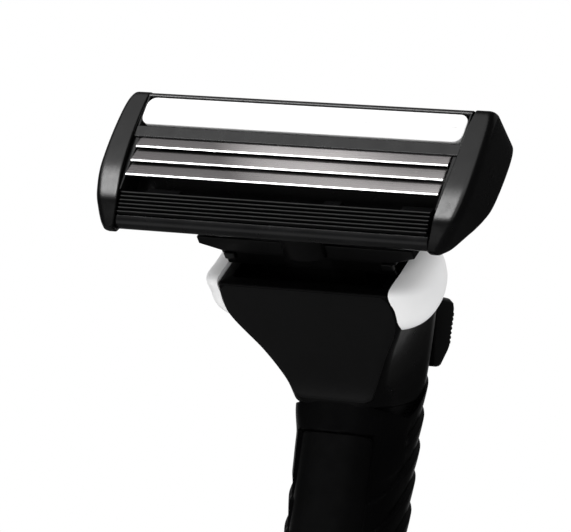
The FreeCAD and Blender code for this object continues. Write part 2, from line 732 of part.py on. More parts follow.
nodes = list(make_everything())
doc.recompute()
for item in doc.Objects:
    if "Invalid" in item.State or "Error" in item.State:
        raise ValueError(f"{item.Name} failed: {item.State}")
for node in nodes:
    if node.Shape.isNull() or not node.Shape.isValid():
        raise ValueError(f"{node.Label} has no valid shape")
os.makedirs("parts", exist_ok=True)
for node in nodes:
    node.Shape.exportStep(f"parts/{node.Label}.step")
    box = node.Shape.BoundBox
    solids = len(node.Shape.Solids)
    print(f"{node.Label:24} solids {solids} volume {node.Shape.Volume:9.2f}", end=" ")
    print(f"z {box.ZMin:7.2f} {box.ZMax:7.2f}  y {box.YMin:6.2f} {box.YMax:6.2f}  x {box.XMin:6.2f} {box.XMax:6.2f}")
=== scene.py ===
"""Looks of the cartridge razor: detailed meshes, procedural materials, soft studio light and the camera.

Lengths are in millimetres inside the shape functions and are scaled to metres as each mesh is made.
There are three working frames, and each starts from the middle blade's edge. The face frame has x across,
y up the shaving face and z out of it. The head frame has x across, y up the head's end face and z forward
along the docking direction. The grip frame is upright, with y to the back.
"""
import json
import math

import bmesh
import bpy
import numpy as np
from mathutils import Matrix, Vector


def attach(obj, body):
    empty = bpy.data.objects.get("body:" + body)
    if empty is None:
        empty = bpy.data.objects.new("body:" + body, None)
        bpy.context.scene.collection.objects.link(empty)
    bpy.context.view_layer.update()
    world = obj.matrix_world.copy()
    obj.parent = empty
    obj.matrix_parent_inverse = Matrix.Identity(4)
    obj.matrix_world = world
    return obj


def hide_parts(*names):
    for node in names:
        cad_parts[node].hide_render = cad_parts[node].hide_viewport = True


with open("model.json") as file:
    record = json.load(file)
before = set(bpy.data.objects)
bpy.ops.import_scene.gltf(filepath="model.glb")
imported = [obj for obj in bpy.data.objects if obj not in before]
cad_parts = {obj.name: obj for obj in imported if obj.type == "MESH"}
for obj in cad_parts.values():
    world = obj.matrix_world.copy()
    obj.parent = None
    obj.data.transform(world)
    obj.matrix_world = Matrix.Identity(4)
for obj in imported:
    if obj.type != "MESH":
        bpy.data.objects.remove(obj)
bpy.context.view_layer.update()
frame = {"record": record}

MM = 0.001
SIDES = {"right": 1, "left": -1}
EDGE = Vector((0.0, -15.0, 134.0))
FACE_LEAN = 22.0
HEAD_LEAN = 42.5
FACE = Matrix.Translation(EDGE) @ Matrix.Rotation(math.radians(90 - FACE_LEAN), 4, "X")
HEAD = Matrix.Translation(EDGE) @ Matrix.Rotation(math.radians(90 - HEAD_LEAN), 4, "X")
GRIP = Matrix.Translation(EDGE)


# Materials. Texture scales are per metre and bump depths are in metres.

FLOW_SCALE = 180
GLOSS_SCALE = 700
GROUND_SCALE = 9000
GROUND_DEPTH = 0.0000012
TONE_AND_PAINTED_REFLECTION_SCALE = 62
GLOSSIER = 0.02
DULLER = 0.03

# Grains: texture scale and depth.
FINE_GRAIN = (9000, 0.0000025)
RUBBER_GRAIN = (5000, 0.000003)
STRIP_GRAIN = (2600, 0.000006)

# Stretches of the ground lines, which are long across the razor.
ROLLED = (0.02, 1, 1)
DRAWN = (1, 1, 1)
HONED = (0.005, 0.2, 0.2)

POLYMERS = {
    # darkest colour, lightest colour, roughness, specular level, grain
    "cartridge_plastic": ((0.003, 0.003, 0.0033), (0.006, 0.006, 0.0064), 0.25, 0.5, FINE_GRAIN),
    "end_cap_plastic": ((0.0008, 0.0008, 0.0009), (0.0016, 0.0016, 0.0018), 0.25, 0.5, FINE_GRAIN),
    "strip_polymer": ((0.90, 0.90, 0.90), (0.97, 0.97, 0.965), 0.55, 0.5, STRIP_GRAIN),
    "guard_rubber": ((0.0015, 0.0015, 0.0017), (0.003, 0.003, 0.0033), 0.34, 0.3, FINE_GRAIN),
    "connector_plastic": ((0.0012, 0.0012, 0.0014), (0.0025, 0.0025, 0.0028), 0.36, 0.35, FINE_GRAIN),
    "mechanism_plastic": ((0.004, 0.004, 0.0045), (0.007, 0.007, 0.0075), 0.40, 0.5, FINE_GRAIN),
    "button_plastic": ((0.0012, 0.0012, 0.0014), (0.0025, 0.0025, 0.0028), 0.42, 0.3, FINE_GRAIN),
    "head_plastic": ((0.001, 0.001, 0.0011), (0.0018, 0.0018, 0.002), 0.29, 0.2, FINE_GRAIN),
    "chin_plastic": ((0.0018, 0.0018, 0.002), (0.003, 0.003, 0.0033), 0.34, 0.5, FINE_GRAIN),
    "inlay_plastic": ((0.90, 0.90, 0.905), (0.95, 0.95, 0.95), 0.42, 0.35, FINE_GRAIN),
    "core_plastic": ((0.004, 0.004, 0.0045), (0.008, 0.008, 0.0085), 0.45, 0.5, FINE_GRAIN),
    "grip_rubber": ((0.0008, 0.0008, 0.0009), (0.0015, 0.0015, 0.0017), 0.32, 0.1, RUBBER_GRAIN),
    "panel_rubber": ((0.001, 0.001, 0.0011), (0.002, 0.002, 0.0022), 0.30, 0.16, FINE_GRAIN),
    "tail_plastic": ((0.003, 0.003, 0.0033), (0.0055, 0.0055, 0.006), 0.38, 0.5, FINE_GRAIN),
}

STEELS = {
    # darkest colour, lightest colour, roughness, stretch of the ground lines
    # the blade steel's wide span from darkest to lightest colour is a painted reflection: patches of sheen
    # along the blades
    "blade_steel": ((0.20, 0.188, 0.19), (0.66, 0.63, 0.63), 0.26, ROLLED),
    "support_steel": ((0.35, 0.34, 0.34), (0.48, 0.47, 0.47), 0.38, ROLLED),
    "spring_steel": ((0.50, 0.50, 0.52), (0.62, 0.62, 0.64), 0.28, DRAWN),
    # a brighter copy of the blade steel for the honed facet: a painted highlight along each blade's edge
    "honed_facet_painted_highlight": ((0.86, 0.85, 0.85), (0.95, 0.94, 0.94), 0.30, HONED),
}


def new_material(name):
    material = bpy.data.materials.new(name)
    material.use_nodes = True
    nodes = material.node_tree.nodes
    return material, nodes, material.node_tree.links, nodes["Principled BSDF"]


def noise(nodes, links, scale, detail, stretch=(1, 1, 1)):
    """Noise over the object's own coordinates."""
    place = nodes.new("ShaderNodeTexCoord")
    mapping = nodes.new("ShaderNodeMapping")
    mapping.inputs["Scale"].default_value = stretch
    texture = nodes.new("ShaderNodeTexNoise")
    texture.inputs["Scale"].default_value = scale
    texture.inputs["Detail"].default_value = detail
    links.new(place.outputs["Object"], mapping.inputs["Vector"])
    links.new(mapping.outputs["Vector"], texture.inputs["Vector"])
    return texture.outputs["Fac"]


def spread(nodes, links, source, low, high):
    """Maps the middle of a noise to the range from low to high."""
    ramp = nodes.new("ShaderNodeMapRange")
    ramp.inputs["From Min"].default_value = 0.3
    ramp.inputs["From Max"].default_value = 0.7
    ramp.inputs["To Min"].default_value = low
    ramp.inputs["To Max"].default_value = high
    links.new(source, ramp.inputs["Value"])
    return ramp.outputs["Result"]


def tint(nodes, links, source, dark, light):
    mix = nodes.new("ShaderNodeMix")
    mix.data_type = "RGBA"
    mix.inputs["A"].default_value = (*dark, 1)
    mix.inputs["B"].default_value = (*light, 1)
    links.new(source, mix.inputs["Factor"])
    return mix.outputs["Result"]


def bump(nodes, links, shader, source, distance, strength=1.0):
    node = nodes.new("ShaderNodeBump")
    node.inputs["Distance"].default_value = distance
    node.inputs["Strength"].default_value = strength
    links.new(source, node.inputs["Height"])
    links.new(node.outputs["Normal"], shader.inputs["Normal"])


def mottle(nodes, links, shader, tone, gloss, dark, light, rough):
    """Colour and roughness that follow two noises."""
    colour = tint(nodes, links, spread(nodes, links, tone, 0, 1), dark, light)
    links.new(colour, shader.inputs["Base Color"])
    uneven = spread(nodes, links, gloss, rough - GLOSSIER, rough + DULLER)
    links.new(uneven, shader.inputs["Roughness"])


def moulded(name, dark, light, rough, specular, grain):
    """Moulded polymer: faint flow mottling, a fine moulded grain and uneven gloss."""
    material, nodes, links, shader = new_material(name)
    flow = noise(nodes, links, FLOW_SCALE, 4)
    gloss = noise(nodes, links, GLOSS_SCALE, 3)
    mottle(nodes, links, shader, flow, gloss, dark, light, rough)
    grain_scale, grain_depth = grain
    bump(nodes, links, shader, noise(nodes, links, grain_scale, 2), grain_depth)
    shader.inputs["Specular IOR Level"].default_value = specular
    return material


def ground(name, dark, light, rough, along):
    """Rolled and ground strip steel: fine lines along the strip and slow changes of tone, which on the
    blades are a painted reflection of broad lighter and darker patches.
    """
    material, nodes, links, shader = new_material(name)
    lines = noise(nodes, links, GROUND_SCALE, 3, along)
    # broad patches of tone; on the blades they are a painted reflection
    tone_and_painted_reflection = noise(nodes, links, TONE_AND_PAINTED_REFLECTION_SCALE, 0, (1, 1.5, 1.5))
    mottle(nodes, links, shader, tone_and_painted_reflection, lines, dark, light, rough)
    bump(nodes, links, shader, lines, GROUND_DEPTH, 0.5)
    shader.inputs["Metallic"].default_value = 1.0
    return material


MATERIALS = {name: moulded(name, *look) for name, look in POLYMERS.items()}
MATERIALS |= {name: ground(name, *look) for name, look in STEELS.items()}


# Mesh tools.

SHARP_ANGLE = math.radians(38)
BEVEL_ANGLE = math.radians(28)


def add_piece(name, mesh, body, slot, *nodes):
    """A piece in the scene that rides a body and takes the place of CAD nodes."""
    piece = bpy.data.objects.new(name, mesh)
    bpy.context.scene.collection.objects.link(piece)
    mesh.materials.append(MATERIALS[slot])
    for polygon in mesh.polygons:
        polygon.use_smooth = True
    mesh.set_sharp_from_angle(angle=SHARP_ANGLE)
    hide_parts(*nodes)
    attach(piece, body)
    return piece


def mesh_from(name, verts, faces, place):
    """A mesh from millimetre points in one of the working frames."""
    mesh = bpy.data.meshes.new(name)
    mesh.from_pydata([(place @ Vector(v)) * MM for v in verts], [], faces)
    mesh.validate()
    tidy = bmesh.new()
    tidy.from_mesh(mesh)
    bmesh.ops.recalc_face_normals(tidy, faces=tidy.faces)
    tidy.to_mesh(mesh)
    tidy.free()
    return mesh


def round_edges(piece, width):
    bevel = piece.modifiers.new("rounded", "BEVEL")
    bevel.width = width * MM
    bevel.segments = 3
    bevel.limit_method = "ANGLE"
    bevel.angle_limit = BEVEL_ANGLE
    bevel.harden_normals = True
    bevel.use_clamp_overlap = True


def prism(points, low, high, axis="x"):
    """Points and faces of an outline drawn out between two places along an axis."""
    order = {"x": (2, 0, 1), "y": (0, 2, 1), "z": (0, 1, 2)}[axis]
    verts = []
    for level in (low, high):
        for a, b in points:
            flat = (a, b, level)
            verts.append(tuple(flat[i] for i in order))
    count = len(points)
    faces = [tuple(range(count)), tuple(range(2 * count - 1, count - 1, -1))]
    faces += [(i, (i + 1) % count, (i + 1) % count + count, i + count) for i in range(count)]
    return verts, faces


def block(x0, x1, y0, y1, z0, z1):
    return prism([(x0, y0), (x1, y0), (x1, y1), (x0, y1)], z0, z1, "z")


def both_sides(shell):
    """A shell and its mirror image across the razor's middle."""
    verts, faces = shell
    return [shell, ([(-x, y, z) for x, y, z in verts], faces)]


def joined(shells):
    verts, faces = [], []
    for more_verts, more_faces in shells:
        start = len(verts)
        verts += more_verts
        faces += [tuple(start + i for i in face) for face in more_faces]
    return verts, faces


def skin(rings):
    """A closed surface through rings with the same number of points each."""
    rings = [list(map(tuple, ring)) for ring in rings]
    count = len(rings[0])
    verts = [point for ring in rings for point in ring]
    faces = []
    for i in range(len(rings) - 1):
        for j in range(count):
            k = (j + 1) % count
            faces.append((i * count + j, i * count + k, (i + 1) * count + k, (i + 1) * count + j))
    last = (len(rings) - 1) * count
    faces.append(tuple(range(count)))
    faces.append(tuple(range(last, last + count))[::-1])
    return verts, faces


def cubic(p0, p1, p2, p3, u):
    """The point at share u of the way from p1 to p2 on a smooth curve through four points."""
    return 0.5 * (2 * p1 + (p2 - p0) * u + (2 * p0 - 5 * p1 + 4 * p2 - p3) * u * u
                  + (3 * p1 - p0 - 3 * p2 + p3) * u ** 3)


def eased(stations, count):
    """A smooth run of rows through the station rows, evenly spaced between them."""
    table = np.array(stations, float)
    last = len(table) - 1
    rows = []
    for t in np.linspace(0, last, count):
        i = min(int(t), last - 1)
        rows.append(cubic(table[max(i - 1, 0)], table[i], table[i + 1], table[min(i + 2, last)], t - i))
    return np.array(rows)


def closed_curve(points, per_span=6):
    """A smooth closed curve through a ring of points."""
    table = np.array(points, float)
    count = len(table)
    curve = []
    for i in range(count):
        near = [table[(i + k - 1) % count] for k in range(4)]
        curve += [cubic(*near, u) for u in np.linspace(0, 1, per_span, endpoint=False)]
    return np.array(curve)


def ring_of_arcs(arcs, side):
    """Points along corner arcs with side points spread over each straight stretch between them."""
    points = []
    for i, run in enumerate(arcs):
        following = arcs[(i + 1) % len(arcs)]
        steps = np.linspace(0, 1, side + 2)[1:-1, None]
        points += [run, run[-1] * (1 - steps) + following[0] * steps]
    return np.concatenate(points)


def corner_arc(x, y, radius, start, count):
    """A quarter circle round a corner's centre, from its start angle in degrees."""
    turn = np.radians(np.linspace(start, start + 90, count))
    return np.stack([x + radius * np.cos(turn), y + radius * np.sin(turn)], 1)


def rounded(half_x, half_y, near_r, far_r, arc=7, side=6):
    """Points round a rectangle with one corner radius at low y and another at high y."""
    corners = (
        (half_x - far_r, half_y - far_r, far_r, 0),
        (far_r - half_x, half_y - far_r, far_r, 90),
        (near_r - half_x, near_r - half_y, near_r, 180),
        (half_x - near_r, near_r - half_y, near_r, 270),
    )
    return ring_of_arcs([corner_arc(*corner, arc) for corner in corners], side)


def arc_points(centre, radius, start, stop, count):
    turn = np.radians(np.linspace(start, stop, count))
    return [(centre[0] + radius * math.cos(t), centre[1] + radius * math.sin(t)) for t in turn]


def smooth_step(low, high, value):
    t = np.clip((value - low) / (high - low), 0, 1)
    return t * t * (3 - 2 * t)


# The cartridge, in the face frame.

RAIL_HALF = 17.35
FRAME_HALF = 18.1
FLOOR_HALF = 18.04
BLADE_HALF = 17.4
BLADE_PITCH = 1.593
BLADE_EDGES = {"upper": BLADE_PITCH, "middle": 0.0, "lower": -BLADE_PITCH}
FACET = 0.17
GUARD_TOP = -3.25
GUARD_BOTTOM = -5.56
FINS = 6
STRIP_HALF = 17.95
STRIP_LOW = 4.24
STRIP_HIGH = 7.3
PIVOT = (-1.0, -6.6)
EAR_RADIUS = 1.38
CAM_HALF = 2.35

MIDDLE_WEB_HALF = 3.0
SIDE_WEBS = ((7.6, 10.4), (16.4, 18.05))
BLADE_SEATS = ((-15.2, -11.5), (4.7, 6.6), (13.2, 16.6))

CAP_ROWS = 46
CAP_OUTER_RADIUS = 0.75
CAP_EDGE_RADIUS = 0.22
CAP_REAR_RADIUS = 0.5
CAP_STATIONS = (
    # front up, front out, back up, back out, inner x, outer x
    (8.15, -0.75, 7.1, -5.3, 18.12, 20.2),
    (7.95, -0.25, 6.9, -5.6, 18.12, 20.45),
    (6.4, 0.12, 5.5, -5.55, 18.14, 20.7),
    (3.2, 0.28, 2.7, -5.25, 18.12, 20.85),
    (0.0, 0.30, 0.0, -4.9, 17.95, 20.82),
    (-1.6, 0.2, -1.6, -4.35, 17.8, 20.7),
    (-3.1, -0.02, -3.0, -3.75, 17.62, 20.45),
    (-4.05, -0.19, -3.95, -3.3, 17.54, 20.2),
    (-4.75, -0.43, -4.65, -3.05, 17.5, 19.95),
    (-6.1, -0.88, -6.0, -2.6, 17.45, 19.35),
    (-7.0, -1.2, -6.9, -2.1, 17.45, 18.6),
)


def make_cartridge_frame():
    """Rail, roof and floor tied by webs, with end walls, pivot ears, the plunger's cam and blade seats."""
    rail = [
        (-2.4, -2.7), (-3.2, -2.7), (-3.2, -1.35), (-5.62, -1.5), (-5.64, -0.84), (-5.95, -0.93),
        (-6.2, -1.06), (-6.42, -1.26), (-6.54, -1.52), (-6.56, -1.8), (-6.5, -2.1), (-6.3, -2.3),
        (-5.8, -2.45), (-5.0, -2.6), (-2.4, -3.67),
    ]
    roof = [(2.0, -2.7), (3.41, -2.7), (3.41, -1.75), (7.9, -1.75), (7.0, -5.2), (6.75, -5.6), (2.0, -5.05)]
    floor = [(0.1, -2.75), (-2.45, -2.75), (-2.45, -3.6), (0.1, -4.64)]
    web = [(2.05, -2.78), (0.05, -2.78), (0.05, -4.6), (0.6, -4.85), (2.05, -5.0)]
    ear = [(-2.4, -3.4), (0.4, -4.4), *arc_points(PIVOT, EAR_RADIUS, 0, -180, 14)]
    cam = [(-4.5, -2.6), (-4.5, -4.7), (-4.3, -4.9), (-3.4, -4.9), (-3.2, -4.7), (-3.2, -3.2)]
    seat = [(-3.22, -2.75), (-3.22, -1.0), (-2.15, -1.5), (-2.15, -2.75)]
    shells = [
        prism(rail, -RAIL_HALF, RAIL_HALF),
        prism(roof, -FRAME_HALF, FRAME_HALF),
        prism(floor, -FLOOR_HALF, FLOOR_HALF),
        prism(web, -MIDDLE_WEB_HALF, MIDDLE_WEB_HALF),
        prism(cam, -CAM_HALF, CAM_HALF),
    ]
    for near, far in SIDE_WEBS:
        shells += both_sides(prism(web, near, far))
    shells += both_sides(block(17.5, 18.08, -3.1, 2.8, -3.0, -0.2))
    shells += both_sides(prism(ear, 8.42, 9.68))
    shells += [prism(seat, left, right) for left, right in BLADE_SEATS]
    mesh = mesh_from("cartridge_frame_shell", *joined(shells), FACE)
    piece = add_piece("cartridge_frame_shell", mesh, "cartridge", "cartridge_plastic", "cartridge_frame")
    round_edges(piece, 0.045)


def make_cap_carrier():
    """The bars below and above the strip, tied by a floor and two ends."""
    lower_bar = [
        (3.41, -1.74), (3.41, -0.34), (2.84, -0.3), (2.78, -0.24), (2.78, -0.1), (2.86, -0.02),
        (4.0, 0.0), (4.08, -0.08), (4.08, -1.74),
    ]
    upper_bar = [
        (7.36, -1.74), (7.36, -0.06), (7.5, 0.0), (7.66, 0.0), (7.86, -0.12), (7.94, -0.34), (7.94, -1.74),
    ]
    shells = [
        prism(lower_bar, -FRAME_HALF, FRAME_HALF),
        prism(upper_bar, -FRAME_HALF, FRAME_HALF),
        block(-FRAME_HALF, FRAME_HALF, 4.1, 7.4, -1.72, -1.18),
        *both_sides(block(17.9, FRAME_HALF, 4.0, 7.6, -1.7, -0.02)),
    ]
    mesh = mesh_from("cap_carrier_shell", *joined(shells), FACE)
    piece = add_piece("cap_carrier_shell", mesh, "cartridge", "cartridge_plastic", "cap_carrier")
    round_edges(piece, 0.05)


def make_lubricating_strip():
    """A flat bar with round corners and a slightly crowned top."""
    middle = (STRIP_LOW + STRIP_HIGH) / 2
    half = (STRIP_HIGH - STRIP_LOW) / 2
    crown = ((0.05, -1.12), (0.02, -0.3), (0.02, 0.0), (0.06, 0.05), (0.14, 0.085), (0.5, 0.12), (1.0, 0.14))
    rings = []
    for inset, height in crown:
        corner = 0.95 - 0.4 * inset
        ring = rounded(STRIP_HALF - inset, half - inset, corner, corner, 9, 30)
        rings.append([(x, middle + y, height) for x, y in ring])
    mesh = mesh_from("strip_shell", *skin(rings), FACE)
    add_piece("strip_shell", mesh, "cartridge", "strip_polymer", "lubricating_strip")


def make_guard_strip():
    """Six rubber fins, each a little lower than the one above it."""
    tip_profile = ((0.13, 0.14), (0.10, 0.04), (0.04, 0.0), (-0.04, 0.0), (-0.10, 0.04), (-0.13, 0.14))
    half = RAIL_HALF - 0.15
    pitch = (GUARD_TOP - GUARD_BOTTOM) / FINS
    outline = [(GUARD_TOP, -1.38)]
    for i in range(FINS):
        middle = GUARD_TOP - pitch * (i + 0.5)
        tip = -0.1 - 0.085 * i
        outline.append((middle + pitch * 0.5, tip - 0.5))
        outline += [(middle + up, tip - drop) for up, drop in tip_profile]
    outline += [(GUARD_BOTTOM, -0.95), (GUARD_BOTTOM, -1.48)]
    mesh = mesh_from("guard_fins", *prism(outline, -half, half), FACE)
    add_piece("guard_fins", mesh, "cartridge", "guard_rubber", "guard_strip")


def make_blade(place, edge):
    """A bent, ground strip that falls away ever more steeply behind its edge and its honed facet."""
    back = [(u, 0.05 - 0.08 * u - 0.085 * u * u) for u in (FACET, 0.45, 0.7, 0.95, 1.2, 1.4, 1.57)]
    section = [(edge, 0.02)] + [(edge + u, n) for u, n in back] + [(edge + 1.6, -0.32)]
    section += [(edge + u - 0.03, n - 0.09) for u, n in reversed(back[1:])] + [(edge + 0.2, -0.08)]
    rings = []
    for x, drawn in ((-BLADE_HALF, 0.86), (0.08 - BLADE_HALF, 0.97), (0.22 - BLADE_HALF, 1.0),
                     (BLADE_HALF - 0.22, 1.0), (BLADE_HALF - 0.08, 0.97), (BLADE_HALF, 0.86)):
        rings.append([(x, edge + (u - edge) * drawn + 0.06 * (1 - drawn), n) for u, n in section])
    mesh = mesh_from(f"blade_strip_{place}", *skin(rings), FACE)
    add_piece(f"blade_strip_{place}", mesh, "cartridge", "blade_steel", f"blade_{place}")
    # The honed facet takes the brighter steel, a painted highlight along the edge.
    mesh.materials.append(MATERIALS["honed_facet_painted_highlight"])
    into_face = FACE.inverted()
    for polygon in mesh.polygons:
        polygon.use_smooth = False
        ups = [(into_face @ (mesh.vertices[i].co / MM)).y for i in polygon.vertices]
        if len(ups) == 4 and max(ups) < edge + FACET + 0.01:
            polygon.material_index = 1


def cap_section(half_x, half_z):
    """Section of an end cap: a generous radius at its outer front corner, small ones elsewhere."""
    outer_r = min(CAP_OUTER_RADIUS, half_x * 0.9, half_z * 0.84)
    corners = (
        (1, 1, outer_r, 0), (-1, 1, CAP_EDGE_RADIUS, 90),
        (-1, -1, CAP_EDGE_RADIUS, 180), (1, -1, CAP_REAR_RADIUS, 270),
    )
    arcs = []
    for sign_x, sign_z, radius, start in corners:
        r = min(radius, half_x * 0.9, half_z * 0.9)
        arcs.append(corner_arc(sign_x * (half_x - r), sign_z * (half_z - r), r, start, 7))
    return ring_of_arcs(arcs, 5)


def make_end_cap(name, side, node):
    """A cap swept from the top of the cartridge round its end to the lower rail."""
    rings = []
    for front_u, front_n, back_u, back_n, inner, outer in eased(CAP_STATIONS, CAP_ROWS):
        middle = (inner + outer) / 2
        depth = front_n - back_n
        ring = []
        for x, z in cap_section((outer - inner) / 2, depth / 2):
            share = z / depth + 0.5
            ring.append((side * (middle + x), back_u + (front_u - back_u) * share, back_n + depth * share))
        rings.append(ring)
    mesh = mesh_from(name, *skin(rings), FACE)
    piece = add_piece(name, mesh, "cartridge", "end_cap_plastic", node)
    soft = piece.modifiers.new("soft", "SUBSURF")
    soft.levels = 1
    soft.render_levels = 1


# The connector and the plunger, in the head frame.

PLUNGER_HALF = 2.3
PLUNGER_LOW = 3.05
PLUNGER_HIGH = 4.75
PLUNGER_PLAY_HALF = 0.2
PLUNGER_PLAY = 0.15
DOCK_HALF = 9.5
DOCK_TOP = 5.5
SHAFT_HALF = 5.6
SHAFT_TOP = 5.6


def make_connector():
    """Two arms with pivot pins on a bar, a tongue below it, and the docking shaft bored for the plunger."""
    tilt = math.radians(HEAD_LEAN - FACE_LEAN)
    up = PIVOT[0] * math.cos(tilt) - PIVOT[1] * math.sin(tilt)
    reach = PIVOT[0] * math.sin(tilt) + PIVOT[1] * math.cos(tilt)
    arm = [(up - 1.5, -8.4), (up + 1.5, -8.4), *arc_points((up, reach), 1.45, 0, 180, 14)]
    pin = arc_points((up, reach), 0.98, 0, 345, 24)
    bar = [(-12.15, -8.25), (12.15, -8.25), (12.15, -9.15), (9.4, -9.95), (-9.4, -9.95), (-12.15, -9.15)]
    tongue = [
        (2.4, -1.0), (-2.4, -1.0), (-2.3, -1.4), (-1.75, -1.85), (-0.9, -2.1),
        (0, -2.18), (0.9, -2.1), (1.75, -1.85), (2.3, -1.4),
    ]
    bore = PLUNGER_HALF + PLUNGER_PLAY_HALF
    lower = PLUNGER_LOW - PLUNGER_PLAY
    upper = PLUNGER_HIGH + PLUNGER_PLAY
    shells = [
        *both_sides(prism(arm, 9.9, 12.15)),
        *both_sides(prism(pin, 8.5, 10.0)),
        prism(bar, -1.05, 0.9, "y"),
        block(-9.8, 9.8, -1.0, lower, -10.2, -8.25),
        *both_sides(block(bore, DOCK_HALF, -1.0, DOCK_TOP, -11.4, -9.9)),
        block(-DOCK_HALF, DOCK_HALF, -1.0, lower, -11.4, -9.9),
        block(-DOCK_HALF, DOCK_HALF, upper, DOCK_TOP, -11.4, -9.9),
        *both_sides(block(bore, SHAFT_HALF, -0.6, SHAFT_TOP, -17.4, -11.3)),
        block(-SHAFT_HALF, SHAFT_HALF, -0.6, lower, -17.4, -11.3),
        block(-SHAFT_HALF, SHAFT_HALF, upper, SHAFT_TOP, -17.4, -11.3),
        prism(tongue, -9.6, -6.95, "z"),
        *both_sides(block(8.2, DOCK_HALF, -1.3, 0.6, -10.7, -9.9)),
    ]
    mesh = mesh_from("connector_shell", *joined(shells), HEAD)
    piece = add_piece("connector_shell", mesh, "connector", "connector_plastic", "connector_yoke")
    round_edges(piece, 0.14)


def make_plunger():
    """A flat bar with a round nose and a wide foot."""
    middle = (PLUNGER_LOW + PLUNGER_HIGH) / 2
    nose_radius = (PLUNGER_HIGH - PLUNGER_LOW) / 2
    nose = arc_points((middle, -5.05), nose_radius, 0, 180, 12)
    bar = prism([(PLUNGER_LOW, -19.3), (PLUNGER_HIGH, -19.3), *nose], -PLUNGER_HALF, PLUNGER_HALF)
    foot = block(-3, 3, middle - 2, middle + 2, -19.4, -18.4)
    mesh = mesh_from("plunger_shell", *joined([bar, foot]), HEAD)
    piece = add_piece("plunger_shell", mesh, "plunger", "mechanism_plastic", "cartridge_plunger")
    round_edges(piece, 0.08)


# The head, in the grip frame, apart from its side inlays, which are in the head frame.

HEAD_ROWS = 60
CHIN_ROWS = slice(1, 39)
CHIN_HALF_DEPTH = 0.4
CHIN_SINK = 0.36
CHIN_INSET = 0.06
HEAD_STATIONS = (
    # front back, front up, rear back, rear up, half width, chin radius, rear radius
    (6.2, -10.7, 11.6, -4.8, 9.6, 0.35, 1.4),
    (8.96, -13.3, 16.4, -5.1, 9.75, 0.6, 2.6),
    (12.2, -16.3, 22.3, -7.0, 7.35, 0.8, 3.6),
    (14.3, -18.7, 26.0, -12.2, 5.85, 1.2, 4.4),
    (15.3, -20.6, 26.8, -17.6, 5.5, 2.5, 4.8),
    (15.5, -21.4, 26.65, -18.5, 5.25, 3.3, 4.8),
    (16.4, -25.0, 26.0, -25.0, 4.8, 4.2, 4.4),
)

BUTTON_HALF = 4.8
BUTTON_RIBS = 7
BUTTON_RIB_PITCH = 0.52


def head_ring(row, inset=0.0, forward=0.0):
    """One slanted section of the head, drawn in by inset and moved towards the cartridge by forward."""
    front_y, front_z, rear_y, rear_z, half, near_r, far_r = row
    along = np.array([rear_y - front_y, rear_z - front_z])
    length = np.linalg.norm(along)
    along = along / length
    ahead = np.array([-along[1], along[0]])
    middle = np.array([front_y + rear_y, front_z + rear_z]) / 2 + ahead * forward
    near_r, far_r = max(near_r - inset, 0.15), max(far_r - inset, 0.2)
    ring = rounded(half - inset, length / 2 - inset, near_r, far_r, 9, 9)
    return [(x, *(middle + along * y)) for x, y in ring]


def make_head():
    """The head from its recessed end face, round a softened rim and down into the rubber."""
    rows = eased(HEAD_STATIONS, HEAD_ROWS)
    recess = ((1.3, -1.5), (1.25, -0.1), (1.15, 0.0))
    rim = ((0.24, 0.0), (0.13, -0.03), (0.05, -0.09), (0.01, -0.18), (0.0, -0.28))
    rings = [head_ring(rows[0], inset, forward) for inset, forward in recess + rim]
    rings += [head_ring(row) for row in rows[1:]]
    mesh = mesh_from("head_shell", *skin(rings), GRIP)
    add_piece("head_shell", mesh, "handle", "head_plastic", "head_housing")


def make_chin_panel():
    """The plate under the head: it runs from the nose to the rubber and out to both creases."""
    rings = []
    rows = eased(HEAD_STATIONS, HEAD_ROWS)[CHIN_ROWS]
    for i, (front_y, front_z, rear_y, rear_z, half, near_r, _) in enumerate(rows):
        along = np.array([rear_y - front_y, rear_z - front_z])
        along /= np.linalg.norm(along)
        from_end = min(i, len(rows) - 1 - i)
        width = half - 0.55 * near_r - CHIN_INSET - 0.25 * max(0, 2 - from_end)
        middle = np.array([front_y, front_z]) + along * (CHIN_SINK + 0.03 * max(0, 1 - from_end))
        section = rounded(width, CHIN_HALF_DEPTH, 0.12, 0.1, 5, 12)
        rings.append([(x, *(middle + along * y)) for x, y in section])
    mesh = mesh_from("chin_plate", *skin(rings), GRIP)
    add_piece("chin_plate", mesh, "handle", "chin_plastic", "chin_panel")


def make_side_inlay(name, side, node):
    """A cushion-like shield over the side of the head, fullest towards its rear."""
    shield = closed_curve([
        (-3.45, -11.6), (-0.5, -11.5), (2.6, -11.5), (4.6, -11.8), (4.9, -13.4), (4.15, -15.6),
        (2.3, -17.1), (-0.4, -17.45), (-2.5, -17.0), (-3.5, -15.75), (-3.55, -13.6),
    ])
    root = 8.42 + 1.4 * smooth_step(-17.2, -14.6, shield[:, 1])
    crest = 12.3
    heart = np.array([0.6, -14.1])
    drift = np.array([0.5, -0.2])
    rings = [np.stack([side * (root - 0.2), *shield.T], 1)]
    for share in np.linspace(0, 1, 18):
        swell = math.sin(share * math.pi / 2)
        size = max(math.cos(share * math.pi / 2) ** 0.62, 0.04)
        points = heart + drift * share + (shield - heart) * size
        rings.append(np.stack([side * (root + (crest - root) * swell), *points.T], 1))
    mesh = mesh_from(name, *skin(rings), HEAD)
    add_piece(name, mesh, "handle", "inlay_plastic", node)


